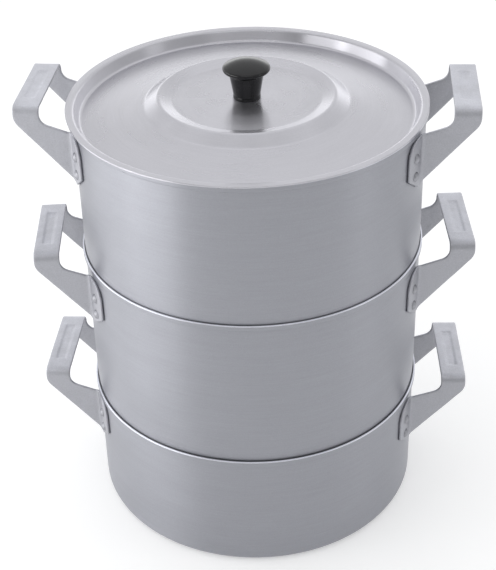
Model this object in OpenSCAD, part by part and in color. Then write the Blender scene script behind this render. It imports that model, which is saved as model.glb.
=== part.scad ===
// Three-tier aluminium steamer: a base pot for water, two tiers with perforated floors,
// a pressed lid with a moulded knob, and a pair of riveted strap handles on every vessel.
// The origin is the middle of the base pot's foot, +Z is up and the handles lie along X.

/* [Vessels] */
// Outer diameter of the walls, below the widened rims
vessel_d = 253.2; // [240:0.2:270]
// Thickness of the vessels' sheet
wall_t = 1.5; // [1.2:0.1:2]
// Height of the base pot's rim above its foot
base_h = 102; // [90:1:140]
// Height of the middle tier's rim above the base pot's rim
middle_rise = 121.6; // [100:0.2:150]
// Height of the top tier's rim above the middle tier's rim
top_rise = 108.6; // [95:0.2:150]
// Outer radius of the base pot's bottom corner
base_corner_r = 8; // [5:0.5:12]
// Width of the flat ring that the base pot stands on
foot_w = 14; // [8:1:24]
// Depth of the pressed hollow inside that ring
dish_h = 0.8; // [0.4:0.1:1.2]

/* [Rims and seats] */
// Depth of the widened rim, from its edge down to the seat inside it
rim_h = 3; // [2:0.5:6]
// Radial gap between a widened rim and a wall of full diameter
rim_gap = 0.3; // [0.2:0.1:0.8]
// Rounding of the rims' cut edges
rim_edge_r = 0.45; // [0.2:0.05:0.5]
// Outer rounding under the widened rim
rim_corner_r = 1.2; // [0.6:0.1:1.4]
// Rounding of the corners at a seat
seat_edge_r = 0.3; // [0.1:0.1:0.4]
// Depth of a tier's neck below its shoulder
neck_depth = 12; // [8:1:20]
// Radial gap between a neck and the vessel it hangs in
neck_gap = 0.8; // [0.4:0.1:1]
// Outer radius of the corner between neck and perforated floor
neck_corner_r = 6; // [3:0.5:8]
// How far the middle tier's wall draws in at its shoulder
middle_tuck = 0.8; // [0.3:0.1:0.9]
// Height over which the middle tier's wall draws in
middle_tuck_h = 9; // [6:1:16]
// How far the top tier's wall draws in at its shoulder
top_tuck = 0.4; // [0.2:0.1:0.8]
// Height over which the top tier's wall draws in
top_tuck_h = 4; // [3:1:12]

/* [Steam holes] */
// Diameter of a steam hole
steam_hole_d = 8; // [5:0.5:10]
// Number of rings of steam holes round the middle one
steam_rings = 4; // [2:1:4]
// Distance between rings of steam holes
steam_ring_step = 24; // [16:1:26]

/* [Lid] */
// How far the lid's flange stands out over the rim that it lies on
lid_overhang = 1.6; // [1.5:0.1:4]
// Radial play of the lid's well inside that rim
lid_play = 2.6; // [2.5:0.1:5]
// Thickness of the lid's sheet
lid_t = 1.3; // [1:0.1:1.6]
// Depth of the well below the flange, at the foot of its wall
lid_well_h = 9; // [5:0.5:12]
// Radial width of the well's slanted wall
lid_slope_w = 4; // [3:0.5:12]
// Outer diameter of the raised ring
lid_ring_d = 148; // [130:2:180]
// Depth of the lid's floor below the flange, at the foot of the raised ring
lid_ring_drop = 2.4; // [1:0.2:4]
// Diameter of the raised ring's crest
lid_crest_d = 127.5; // [110:0.5:140]
// Height of that crest above the flange
lid_crest_rise = 4.4; // [3:0.2:7]
// Diameter of the flat disc under the knob
lid_disc_d = 107; // [80:1:110]
// Height of the disc above the flange
lid_disc_rise = 1; // [0:0.2:2]
// Rounding of the raised ring's feet
lid_fillet_r = 5; // [2:0.5:7]
// Rounding at the foot of the well's wall
lid_foot_r = 2.5; // [1.5:0.1:5]
// Rounding of the raised ring's crest
lid_crest_r = 3; // [2:0.5:4]
// Rounding of the flange's inner edge
lid_lip_r = 2.5; // [1.5:0.1:3]
// Rounding of the flange's cut edge
lid_edge_r = 0.45; // [0.2:0.05:0.5]
// How far the loosely lying lid has slid towards -X
lid_shift = 1.4; // [0:0.1:1.5]

/* [Knob] */
// Diameter of the knob's head
knob_head_d = 36.6; // [30:0.2:42]
// Height of the whole knob
knob_h = 28.2; // [25:0.2:40]
// Height of the domed top above the head's widest place
knob_dome_h = 6.5; // [4:0.2:10]
// Depth of the tapered underside of the head
knob_under_h = 3.8; // [2:0.2:7]
// Rounding of the head's edge
knob_head_r = 2; // [0.6:0.1:3]
// Diameter of the stem, right under the head
knob_stem_d = 24.6; // [20:0.2:28]
// Diameter of the stem at its narrowest, just above the foot
knob_waist_d = 19.4; // [16:0.2:22]
// Diameter of the small bead round the top of the stem
knob_bead_d = 1.2; // [0.8:0.1:2]
// Diameter of the foot that stands on the lid
knob_foot_d = 19.8; // [17:0.2:24]
// Height of the foot
knob_foot_h = 2; // [1:0.5:4]

/* [Knob fastening] */
// Diameter of the screw's thread
screw_d = 5; // [4:0.5:6]
// Length of the screw below its head
screw_len = 12; // [10:0.5:16]
// Diameter of the screw's head
screw_head_d = 9; // [8:0.5:12]
// Height of the screw's head
screw_head_h = 2.6; // [2:0.2:4]
// Width of the slot in the screw's head
screw_slot_w = 1.2; // [0.8:0.1:1.6]
// Depth of that slot
screw_slot_h = 1.2; // [0.8:0.1:1.6]
// Diameter of the washer under the lid
washer_d = 15; // [12:1:20]
// Thickness of the washer
washer_t = 1.2; // [1:0.1:2]
// Outer diameter of the threaded insert in the knob
insert_d = 8; // [7:0.5:10]
// Length of the insert
insert_len = 12; // [8:0.5:16]

/* [Handles] */
// Thickness of the handles' strap
strap_t = 2; // [1.5:0.1:2.5]
// Distance over both arms of a handle
handle_w = 79; // [70:1:90]
// Radial width of the grip plate
grip_w = 18.8; // [16:0.2:22]
// Outer radius of the bends from the grip into the arms
grip_bend_r = 6; // [4:0.5:6]
// Outside radius of the fold from an arm onto the wall
fold_r = 3.2; // [1.5:0.1:5]
// Length of a flange along the wall, past its arm
flange_len = 20.4; // [18:0.2:30]
// Rounding of a flange's upper corner
flange_top_r = 12; // [6:1:14]
// Rounding of a flange's lower corner
flange_low_r = 3; // [2:0.5:6]
// Depth of the arms' inner corner below the grip
throat_drop = 12; // [11:0.5:16]
// Rounding of that inner corner
throat_r = 8; // [4:0.5:8]
// Depth of the arms' outer corner below the grip
elbow_drop = 11.4; // [11:0.2:18]
// Rounding of that outer corner
elbow_r = 12; // [6:0.5:14]
// Depth of the flanges' upper edge below the grip
flange_top_drop = 19; // [17:0.5:24]
// Depth of the flanges' lower corner, at their free end, below the grip
flange_low_drop = 47; // [44:0.2:56]
// Depth of the strap's lowest corner, at the fold, below the grip
foot_drop = 58.8; // [56:0.2:66]
// Rounding of that lowest corner
foot_r = 4; // [2:0.5:6]

/* [Handles as riveted] */
// Height of the base pot's left grip above its rim
base_left_rise = 12.8; // [6:0.2:16]
// Height of the base pot's right grip above its rim
base_right_rise = 8.8; // [6:0.2:16]
// Height of the middle tier's left grip above its rim
middle_left_rise = 8.8; // [6:0.2:16]
// Height of the middle tier's right grip above its rim
middle_right_rise = 7.6; // [6:0.2:16]
// Height of the top tier's left grip above its rim
top_left_rise = 9.6; // [6:0.2:16]
// Height of the top tier's right grip above its rim
top_right_rise = 13.2; // [6:0.2:16]
// Turn of the base pot's left handle about the vertical
base_left_angle = -4.8; // [-20:0.2:20]
// Turn of the base pot's right handle about the vertical
base_right_angle = -1.8; // [-20:0.2:20]
// Turn of the middle tier's left handle about the vertical
middle_left_angle = 1.4; // [-20:0.2:20]
// Turn of the middle tier's right handle about the vertical
middle_right_angle = -0.2; // [-20:0.2:20]
// Turn of the top tier's left handle about the vertical
top_left_angle = -6; // [-20:0.2:20]
// Turn of the top tier's right handle about the vertical
top_right_angle = -5; // [-20:0.2:20]
// Distance from the wall to the base pot's left grip's outer edge
base_left_reach = 36.4; // [34:0.2:44]
// Distance from the wall to the base pot's right grip's outer edge
base_right_reach = 38; // [34:0.2:44]
// Distance from the wall to the middle tier's left grip's outer edge
middle_left_reach = 35.2; // [34:0.2:44]
// Distance from the wall to the middle tier's right grip's outer edge
middle_right_reach = 37; // [34:0.2:44]
// Distance from the wall to the top tier's left grip's outer edge
top_left_reach = 36.6; // [34:0.2:44]
// Distance from the wall to the top tier's right grip's outer edge
top_right_reach = 35.6; // [34:0.2:44]

/* [Grip panel] */
// Length of the panel pressed into the grip
panel_len = 48; // [36:1:54]
// Width of the pressed panel
panel_w = 10; // [8:0.5:12]
// Width of the panel's sloping border
panel_slope_w = 3; // [1:0.5:4]
// Depth of the panel
panel_h = 0.8; // [0.5:0.1:1.4]

/* [Rivets] */
// Diameter of the rivets' shanks
rivet_d = 4; // [3:0.5:5]
// Diameter of the rivets' heads
rivet_head_d = 7.4; // [6:0.2:9]
// Height of the outer heads
rivet_head_h = 2.2; // [1.5:0.1:3]
// Height of the flatter heads inside the vessel
rivet_tail_h = 1.2; // [0.8:0.1:2]
// Distance of the rivets from their arm, along the wall
rivet_inset = 10; // [9.6:0.2:15]
// Depth of the upper rivets below the grip
rivet_drop = 33; // [27:0.5:35]
// Distance between the upper and the lower rivet
rivet_pitch = 14; // [12:0.5:16]

/* [Hidden] */

$fn = 96;
arc_steps = 8;
dome_steps = 10;

satin = [0.76, 0.77, 0.79];
tumbled = [0.70, 0.71, 0.73];
black = [0.07, 0.07, 0.08];
brass = [0.78, 0.62, 0.30];
steel = [0.55, 0.56, 0.58];

// Running clearances
screw_gap = 0.2;
thread_gap = 0.05;
insert_gap = 0.02;
rivet_gap = 0.05;
strap_gap = 0.05;
head_gap = 0.01;
cut_over = 1;

// Directions of the handles before their own small turns
left_side = 180;
right_side = 0;

// Radii and heights that the vessels share
wall_r = vessel_d / 2;
rim_flare = wall_t + rim_gap;
neck_r = wall_r - wall_t - neck_gap;
tuck_blend_share = 0.7;
base_rim_z = base_h;
middle_rim_z = base_rim_z + middle_rise;
top_rim_z = middle_rim_z + top_rise;
lid_z = top_rim_z + lid_t;
lid_r = wall_r + rim_flare + lid_overhang;
lid_well_r = wall_r + rim_gap - lid_play;
disc_z = lid_z + lid_disc_rise;

// Height of each grip's top, the direction in which its handle points, and its outer radius
base_left = [base_rim_z + base_left_rise, base_left_angle + left_side, wall_r + base_left_reach];
base_right = [base_rim_z + base_right_rise, base_right_angle + right_side, wall_r + base_right_reach];
middle_left = [middle_rim_z + middle_left_rise, middle_left_angle + left_side, wall_r + middle_left_reach];
middle_right = [middle_rim_z + middle_right_rise, middle_right_angle + right_side, wall_r + middle_right_reach];
top_left = [top_rim_z + top_left_rise, top_left_angle + left_side, wall_r + top_left_reach];
top_right = [top_rim_z + top_right_rise, top_right_angle + right_side, wall_r + top_right_reach];

// Plan of a handle: the fold's centre, and where the flange starts and ends
flange_r = wall_r + strap_gap;
fold_y = handle_w / 2 + fold_r;
fold_x = sqrt(pow(flange_r + strap_t + fold_r, 2) - pow(fold_y, 2));
fold_a = atan2(fold_y, fold_x);
arm_a = asin(handle_w / 2 / flange_r);
flange_end_a = arm_a + flange_len / flange_r * 180 / PI;
rivet_a = arm_a + rivet_inset / flange_r * 180 / PI;
flange_end_y = (flange_r + strap_t) * sin(flange_end_a);
foot_x = fold_x - fold_r;

function unit(v) = v / norm(v);
function left_of(v) = [-v[1], v[0]];
function point(v) = [v[0], v[1]];
function turned(v, a) = [v[0] * cos(a) - v[1] * sin(a), v[0] * sin(a) + v[1] * cos(a)];
function arc(centre, r, from_a, to_a) =
    [for (k = [0:arc_steps]) centre + turned([r, 0], from_a + (to_a - from_a) * k / arc_steps)];

// Direction of the path that reaches corner i, and of the one that leaves it
function into(path, i) = let (k = max(i, 1)) unit(point(path[k]) - point(path[k - 1]));
function out_of(path, i) = let (k = min(i, len(path) - 2)) unit(point(path[k + 1]) - point(path[k]));
function turn_at(path, i) = let (a = into(path, i), b = out_of(path, i)) atan2(cross(a, b), a * b);

// Corner i of the path, moved t to its left, with its radius; a fourth value overrides the radius
function beside(path, i, t) =
    let (a = into(path, i), b = out_of(path, i), c = path[i],
         p = point(c) + (left_of(a) + left_of(b)) * t / (1 + a * b),
         r = len(c) > 3 ? c[3] : c[2] == 0 ? 0 : max(c[2] - sign(turn_at(path, i)) * t, 0))
    [p[0], p[1], r];

// Arc that rounds the corner b between a and c
function corner_arc(a, b, c, r) =
    let (u = unit(point(b) - point(a)), v = unit(point(c) - point(b)), turn = atan2(cross(u, v), u * v),
         start = point(b) - u * r * tan(abs(turn) / 2), centre = start + sign(turn) * r * left_of(u))
    r == 0 || turn == 0 ? [point(b)]
    : [for (k = [0:arc_steps]) centre + turned(start - centre, turn * k / arc_steps)];

// Closed outline with every corner [x, y, radius] rounded
function rounded(corners) =
    let (n = len(corners))
    [for (i = [0:n - 1])
        each corner_arc(corners[(i + n - 1) % n], corners[i], corners[(i + 1) % n], corners[i][2])];

// Section of a sheet of thickness t, whose one face follows the path
function sheet(path, t) =
    let (n = len(path))
    rounded(concat([for (c = path) [c[0], c[1], c[2]]], [for (i = [n - 1:-1:0]) beside(path, i, t)]));

// Top of a vessel's section: the step out to the widened rim, and its edge
function rim_path(z) = [
    [wall_r, z - rim_h - wall_t, seat_edge_r, seat_edge_r],
    [wall_r + rim_flare, z - rim_h - wall_t, rim_corner_r, seat_edge_r],
    [wall_r + rim_flare, z, rim_edge_r, rim_edge_r]
];

function base_path() = concat([
    [0, dish_h, 0],
    [wall_r - base_corner_r - foot_w - dish_h, dish_h, dish_h],
    [wall_r - base_corner_r - foot_w, 0, dish_h],
    [wall_r, 0, base_corner_r]
], rim_path(base_rim_z));

// Section of a tier that stands in the rim below, whose edge is at height seat_rim_z
function tier_path(seat_rim_z, rim_z, tuck, tuck_h) =
    let (shoulder_z = seat_rim_z - rim_h, lean = atan2(tuck, tuck_h),
         blend_r = tuck_h * tuck_blend_share / tan(lean / 2))
    concat([
        [0, shoulder_z - neck_depth, 0],
        [neck_r, shoulder_z - neck_depth, neck_corner_r],
        [neck_r, shoulder_z, seat_edge_r, seat_edge_r],
        [wall_r - tuck, shoulder_z, seat_edge_r, seat_edge_r],
        [wall_r, shoulder_z + tuck_h, blend_r]
    ], rim_path(rim_z));

// Upper face of the lid, from the middle outwards
function lid_path() = [
    [0, disc_z, 0],
    [lid_disc_d / 2, disc_z, lid_fillet_r],
    [lid_crest_d / 2, lid_z + lid_crest_rise, lid_crest_r],
    [lid_ring_d / 2, lid_z - lid_ring_drop, lid_fillet_r],
    [lid_well_r - lid_slope_w, lid_z - lid_well_h, lid_foot_r],
    [lid_well_r, lid_z, lid_lip_r],
    [lid_r, lid_z, lid_edge_r, lid_edge_r]
];

// Points of the knob's domed top, from its edge to the middle
function knob_dome() =
    let (edge_r = knob_head_d / 2 - knob_head_r, edge_z = knob_h - knob_dome_h + knob_head_r,
         rise = knob_h - edge_z, ball_r = (pow(edge_r, 2) + pow(rise, 2)) / (2 * rise),
         half_a = asin(edge_r / ball_r))
    [for (k = [0:dome_steps]) let (a = half_a * (1 - k / dome_steps))
        [ball_r * sin(a), knob_h - ball_r * (1 - cos(a)), 0]];

function knob_outline() = concat([
    [0, 0, 0],
    [knob_foot_d / 2, 0, 0],
    [knob_foot_d / 2, knob_foot_h, 0],
    [knob_waist_d / 2, knob_foot_h, 0],
    [knob_stem_d / 2, knob_h - knob_dome_h - knob_under_h, 0],
    [knob_head_d / 2, knob_h - knob_dome_h, knob_head_r]
], knob_dome());

// A shape drawn in the XZ plane, made solid over the given span along Y
module along_y(from_y, to_y) {
    translate([0, to_y, 0])
    rotate([90, 0, 0])
    linear_extrude(to_y - from_y)
    children();
}

// A shape drawn in the YZ plane, made solid over the given span along X
module along_x(from_x, to_x) {
    translate([from_x, 0, 0])
    rotate([90, 0, 90])
    linear_extrude(to_x - from_x)
    children();
}

// Flat ring between two radii and between two directions less than a half turn apart
module ring_sector(inner_r, outer_r, from_a, to_a) {
    reach = 2 * outer_r;
    intersection() {
        difference() {
            circle(outer_r);
            circle(inner_r);
        }
        polygon([[0, 0], for (a = [from_a, (from_a + to_a) / 2, to_a]) reach * [cos(a), sin(a)]]);
    }
}

// Copies for the four rivets of a handle, each with its axis along +Z
module at_rivets() {
    for (side = [-1, 1], row = [0, 1])
        rotate([0, 0, side * rivet_a])
        translate([0, 0, -rivet_drop - row * rivet_pitch])
        rotate([0, 90, 0])
        children();
}

module rivet_holes() {
    at_rivets() translate([0, 0, wall_r / 2]) cylinder(d = rivet_d + 2 * rivet_gap, h = wall_r);
}

// Puts a handle's pieces, drawn towards +X with the grip's top at height 0, in their place
module at_handle(place) {
    rotate([0, 0, place[1]]) translate([0, 0, place[0]]) children();
}

module vessel_rivet_holes(places) {
    for (place = places) at_handle(place) rivet_holes();
}

module steam_holes(floor_z) {
    for (ring = [0:steam_rings], k = [0:max(6 * ring, 1) - 1])
        rotate([0, 0, k * 360 / max(6 * ring, 1)])
        translate([ring * steam_ring_step, 0, floor_z - cut_over])
        cylinder(d = steam_hole_d, h = wall_t + 2 * cut_over);
}

module base_pot() {
    color(satin)
    difference() {
        rotate_extrude() polygon(sheet(base_path(), wall_t));
        vessel_rivet_holes([base_left, base_right]);
    }
}

module tier(seat_rim_z, rim_z, tuck, tuck_h, places) {
    color(satin)
    difference() {
        rotate_extrude() polygon(sheet(tier_path(seat_rim_z, rim_z, tuck, tuck_h), wall_t));
        steam_holes(seat_rim_z - rim_h - neck_depth);
        vessel_rivet_holes(places);
    }
}

module middle_tier() {
    tier(base_rim_z, middle_rim_z, middle_tuck, middle_tuck_h, [middle_left, middle_right]);
}

module top_tier() {
    tier(middle_rim_z, top_rim_z, top_tuck, top_tuck_h, [top_left, top_right]);
}

// Everything on the lid is drawn on the vertical axis and moved with the lid
module on_lid(z) {
    translate([-lid_shift, 0, z]) children();
}

module lid() {
    color(satin)
    on_lid(0)
    difference() {
        rotate_extrude() polygon(sheet(lid_path(), -lid_t));
        translate([0, 0, disc_z - lid_t - cut_over])
        cylinder(d = screw_d + 2 * screw_gap, h = lid_t + 2 * cut_over);
    }
}

module knob() {
    color(black)
    on_lid(disc_z)
    difference() {
        union() {
            rotate_extrude() polygon(rounded(knob_outline()));
            translate([0, 0, knob_h - knob_dome_h - knob_under_h])
            rotate_extrude() translate([(knob_stem_d - knob_bead_d / 2) / 2, 0]) circle(d = knob_bead_d);
        }
        translate([0, 0, -cut_over])
        cylinder(d = insert_d + 2 * insert_gap, h = insert_len + insert_gap + cut_over);
    }
}

module knob_insert() {
    color(brass)
    on_lid(disc_z)
    difference() {
        cylinder(d = insert_d, h = insert_len);
        translate([0, 0, -cut_over])
        cylinder(d = screw_d + 2 * thread_gap, h = insert_len + 2 * cut_over);
    }
}

module knob_washer() {
    color(steel)
    on_lid(disc_z - lid_t - washer_t)
    difference() {
        cylinder(d = washer_d, h = washer_t);
        translate([0, 0, -cut_over]) cylinder(d = screw_d + 2 * screw_gap, h = washer_t + 2 * cut_over);
    }
}

module knob_screw() {
    color(steel)
    on_lid(disc_z - lid_t - washer_t - screw_head_h)
    difference() {
        union() {
            mirror([0, 0, 1]) translate([0, 0, -screw_head_h]) low_dome(screw_head_d, screw_head_h);
            translate([0, 0, screw_head_h / 2]) cylinder(d = screw_d, h = screw_head_h / 2 + screw_len);
        }
        translate([-screw_head_d / 2, -screw_slot_w / 2, -cut_over])
        cube([screw_head_d, screw_slot_w, screw_slot_h + cut_over]);
    }
}

// Slice of a ball, d across its flat face at height 0 and h high
module low_dome(d, h) {
    ball_r = (pow(d / 2, 2) + pow(h, 2)) / (2 * h);
    intersection() {
        translate([0, 0, h - ball_r]) sphere(ball_r);
        cylinder(d = d, h = h);
    }
}

// Plan of one arm, its fold and its flange, on the +Y side
module strap_plan(grip_out) {
    fold = [fold_x, fold_y];
    polygon(concat(
        arc([0, 0], flange_r, flange_end_a, fold_a),
        arc(fold, fold_r + strap_t, fold_a + 180, 270),
        [[grip_out, handle_w / 2 - strap_t], [grip_out, handle_w / 2]],
        arc(fold, fold_r, 270, fold_a + 180),
        arc([0, 0], flange_r + strap_t, fold_a, flange_end_a)
    ));
}

// Side view of an arm, from the grip's bends down to the wall
module arm_outline(grip_out) {
    grip_in = grip_out - grip_w;
    end_x = flange_r * cos(flange_end_a);
    polygon(rounded([
        [grip_in, -grip_bend_r, 0],
        [grip_out, -grip_bend_r, 0],
        [grip_out, -elbow_drop, min(elbow_r, elbow_limit_r(grip_out))],
        [foot_x, -foot_drop, foot_r],
        [end_x, -foot_drop, 0],
        [end_x, -flange_top_drop, 0],
        [fold_x, -flange_top_drop, 0],
        [grip_in, -throat_drop, min(throat_r, throat_limit_r(grip_in))]
    ]));
}

// Largest radii that end below the grip's bends
function elbow_limit_r(grip_out) =
    let (slope = atan2(foot_drop - elbow_drop, grip_out - foot_x))
    (elbow_drop - grip_bend_r) / tan((90 - slope) / 2);
function throat_limit_r(grip_in) =
    let (slope = atan2(flange_top_drop - throat_drop, grip_in - fold_x))
    (throat_drop - grip_bend_r) / tan((90 - slope) / 2);

// View of a flange from outside the vessel, with its arm from end to end beside it
module flange_outline() {
    polygon(rounded([
        [0, 0, 0],
        [0, -foot_drop, 0],
        [fold_y, -foot_drop, foot_r],
        [flange_end_y, -flange_low_drop, flange_low_r],
        [flange_end_y, -flange_top_drop, flange_top_r],
        [fold_y, -flange_top_drop, 0],
        [fold_y, 0, 0]
    ]));
}

module arm_and_flange(grip_out) {
    intersection() {
        translate([0, 0, -foot_drop]) linear_extrude(foot_drop) strap_plan(grip_out);
        along_y(0, flange_end_y) arm_outline(grip_out);
        along_x(0, grip_out) flange_outline();
    }
}

// Section of the pressed panel across half width w, from depth 0 down to panel_h
module panel_section(w) {
    polygon([[-w, cut_over], [w, cut_over], [w, 0], [w - panel_slope_w, -panel_h],
             [panel_slope_w - w, -panel_h], [-w, 0]]);
}

module panel_block(grip_out) {
    intersection() {
        along_y(-panel_len / 2, panel_len / 2)
        translate([grip_out - grip_w / 2, 0])
        panel_section(panel_w / 2);
        along_x(grip_out - grip_w, grip_out) panel_section(panel_len / 2);
    }
}

module grip(grip_out) {
    grip_in = grip_out - grip_w;
    flat_y = handle_w / 2 - grip_bend_r;
    difference() {
        union() {
            translate([grip_in, -flat_y, -strap_t]) cube([grip_w, 2 * flat_y, strap_t]);
            intersection() {
                translate([0, 0, -strap_t]) panel_block(grip_out);
                translate([grip_in, -flat_y, -strap_t - panel_h])
                cube([grip_w, 2 * flat_y, strap_t + panel_h]);
            }
        }
        panel_block(grip_out);
    }
    for (flip = [0, 1])
        mirror([0, flip, 0])
        translate([0, flat_y, -grip_bend_r])
        along_x(grip_in, grip_out)
        ring_sector(grip_bend_r - strap_t, grip_bend_r, 0, 90);
}

module handle(place) {
    color(tumbled)
    at_handle(place)
    difference() {
        union() {
            grip(place[2]);
            arm_and_flange(place[2]);
            mirror([0, 1, 0]) arm_and_flange(place[2]);
        }
        rivet_holes();
    }
}

// Four rivets, each with a domed head on the flange and a flatter one inside the vessel
module rivets(place) {
    inner_r = wall_r - wall_t;
    tail_z = sqrt(pow(inner_r, 2) - pow(rivet_head_d / 2, 2)) - head_gap;
    head_z = flange_r + strap_t + head_gap;
    color(tumbled)
    at_handle(place)
    at_rivets() {
        translate([0, 0, head_z]) low_dome(rivet_head_d, rivet_head_h);
        translate([0, 0, tail_z]) mirror([0, 0, 1]) low_dome(rivet_head_d, rivet_tail_h);
        translate([0, 0, tail_z - rivet_tail_h / 2])
        cylinder(d = rivet_d, h = head_z - tail_z + (rivet_head_h + rivet_tail_h) / 2);
    }
}

module base_left_handle() { handle(base_left); }
module base_right_handle() { handle(base_right); }
module middle_left_handle() { handle(middle_left); }
module middle_right_handle() { handle(middle_right); }
module top_left_handle() { handle(top_left); }
module top_right_handle() { handle(top_right); }

module base_left_rivets() { rivets(base_left); }
module base_right_rivets() { rivets(base_right); }
module middle_left_rivets() { rivets(middle_left); }
module middle_right_rivets() { rivets(middle_right); }
module top_left_rivets() { rivets(top_left); }
module top_right_rivets() { rivets(top_right); }

base_pot();
middle_tier();
top_tier();
lid();
knob();
knob_insert();
knob_screw();
knob_washer();
base_left_handle();
base_right_handle();
middle_left_handle();
middle_right_handle();
top_left_handle();
top_right_handle();
base_left_rivets();
base_right_rivets();
middle_left_rivets();
middle_right_rivets();
top_left_rivets();
top_right_rivets();
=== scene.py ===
import math

import bmesh
import bpy
import numpy as np
from mathutils import Matrix, Vector
from mathutils.geometry import delaunay_2d_cdt


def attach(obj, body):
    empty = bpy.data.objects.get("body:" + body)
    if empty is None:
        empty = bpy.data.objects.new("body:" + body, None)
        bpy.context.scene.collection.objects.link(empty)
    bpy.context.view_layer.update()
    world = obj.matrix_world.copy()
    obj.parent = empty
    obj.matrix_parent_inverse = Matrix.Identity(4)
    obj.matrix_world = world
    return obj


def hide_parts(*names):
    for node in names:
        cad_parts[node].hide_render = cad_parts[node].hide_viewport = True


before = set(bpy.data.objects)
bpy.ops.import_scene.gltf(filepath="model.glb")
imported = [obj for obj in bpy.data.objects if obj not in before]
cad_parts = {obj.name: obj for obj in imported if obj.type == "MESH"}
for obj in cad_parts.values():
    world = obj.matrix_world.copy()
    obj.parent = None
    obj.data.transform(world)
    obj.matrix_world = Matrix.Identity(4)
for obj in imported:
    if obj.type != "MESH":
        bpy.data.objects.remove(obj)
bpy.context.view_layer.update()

MM = 0.001

# Sizes of the vessels, in millimetres like every length whose name doesn't end in _M
WALL_R, WALL_T = 126.6, 1.5
RIM_Z = {"base": 102.0, "middle": 223.6, "top": 332.2}
BASE_CORNER_R, FOOT_W, DISH_H = 8.0, 14.0, 0.8
RIM_H, RIM_GAP, RIM_CORNER_R, SEAT_EDGE_R = 3.0, 0.3, 1.2, 0.3
RIM_EDGE_R, RIM_INNER_R = 0.9, 0.3
RIM_R = WALL_R + WALL_T + RIM_GAP
NECK_DEPTH, NECK_GAP, NECK_CORNER_R = 12.0, 0.8, 6.0
HOLE_R, HOLE_RINGS, RING_STEP = 4.0, 4, 24.0
HOLE_EDGE_R, HOLE_BURR, HOLE_PAD_W = 0.45, 0.15, 0.9

# How far each tier's wall is drawn in above its seat, over which height, and how softly
TUCKS = {"middle": (0.8, 9.0), "top": (0.4, 4.0)}
TUCK_ROUND = 0.7

# Sizes of the lid: its sheet, its well, the raised ring in it and the disc inside the ring
LID_T, LID_SHIFT, LID_PLAY, LID_OVERHANG, LID_EDGE_R = 1.3, 1.4, 2.6, 1.6, 0.45
WELL_DEPTH, WELL_SLOPE_W, WELL_BEND_R = 9.0, 4.0, 2.5
RING_FOOT_R, RING_FOOT_DROP, CREST_R, CREST_H, CREST_BEND_R = 74.0, 2.4, 63.75, 4.4, 3.0
DISC_R, DISC_H, RING_BEND_R, SCREW_HOLE_R = 53.5, 1.0, 5.0, 2.7
LID_Z = RIM_Z["top"] + LID_T
DISC_Z = LID_Z + DISC_H

# Sizes of the knob
KNOB_H, KNOB_DOME_H, KNOB_UNDER_H, KNOB_HEAD_R, KNOB_EDGE_R = 28.2, 6.5, 3.8, 18.3, 2.0
KNOB_STEM_R, KNOB_WAIST_R, KNOB_FOOT_R, KNOB_FOOT_H = 12.3, 9.7, 9.9, 2.0
KNOB_BEAD_R, KNOB_BORE_R, KNOB_BORE_H = 0.6, 4.02, 12.02

# Sizes of the strap handles; a drop is measured down from the top of the grip
STRAP_T, HANDLE_W, GRIP_W, BEND_R, FOLD_R = 2.0, 79.0, 18.8, 6.0, 3.2
THROAT_DROP, THROAT_R, ELBOW_DROP, ELBOW_R = 12.0, 8.0, 11.4, 12.0
FLANGE_LEN, FLANGE_TOP, FLANGE_TOP_R, FLANGE_LOW, FLANGE_LOW_R = 20.4, 19.0, 12.0, 47.0, 3.0
STRAP_FOOT_DROP, STRAP_FOOT_IN, STRAP_FOOT_LEN, STRAP_FOOT_R = 58.8, 3.6, 3.0, 3.6
NOTCH_R, STRAP_EDGE_R, CONTACT_GAP = 3.0, 0.75, 0.05
FLANGE_R = WALL_R + CONTACT_GAP
PANEL_LEN, PANEL_W, PANEL_H, PANEL_CORNER_R = 48.0, 10.0, 0.95, 2.4
PANEL_INNER_SLOPE_W, PANEL_OUTER_SLOPE_W = 3.4, 2.6

# Sizes of the rivets
RIVET_INSET, RIVET_DROP, RIVET_PITCH = 10.0, 33.0, 14.0
RIVET_HEAD_R, RIVET_HEAD_H, RIVET_TAIL_H, RIVET_R = 3.7, 2.2, 1.2, 2.0
RIVET_GAP, RIVET_LIP_H = 0.01, 0.12

# For each handle: its height over the rim, its direction in degrees, and its reach from the wall
PLACES = {
    "base_left": (12.8, 175.2, 36.4),
    "base_right": (8.8, -1.8, 38.0),
    "middle_left": (8.8, 181.4, 35.2),
    "middle_right": (7.6, -0.2, 37.0),
    "top_left": (9.6, 174.0, 36.6),
    "top_right": (13.2, -5.0, 35.6),
}

# Waves in the hand-bent straps, as length and height, and where they set in beyond the fold
WAVES = ((60.0, 0.07), (34.0, 0.05), (17.0, 0.025), (11.0, 0.015))
WAVES_OF_EACH = 3
WAVES_START, WAVES_RAMP = 4, 10
WAVES_FIRST_SEED = 11

# Fineness of the meshes
AROUND, AROUND_KNOB, AROUND_RIVET = 288, 144, 40
ARC_STEP_DEG, ARC_STEPS_MIN = 7.0, 4
EDGE_STEPS = 4
OUTLINE_STEP, COARSE_STEP, FINE_STEP = 1.3, 1.4, 0.6
OUTLINE_MARGIN, PANEL_MARGIN = 0.75, 0.9
WELD_DISTANCE_M = 2e-6


# Outlines with rounded corners
def unit(v):
    return v / np.linalg.norm(v)


def left_of(v):
    return np.array([-v[1], v[0]])


def turn_between(a, b):
    return math.atan2(a[0] * b[1] - a[1] * b[0], float(a @ b))


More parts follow.
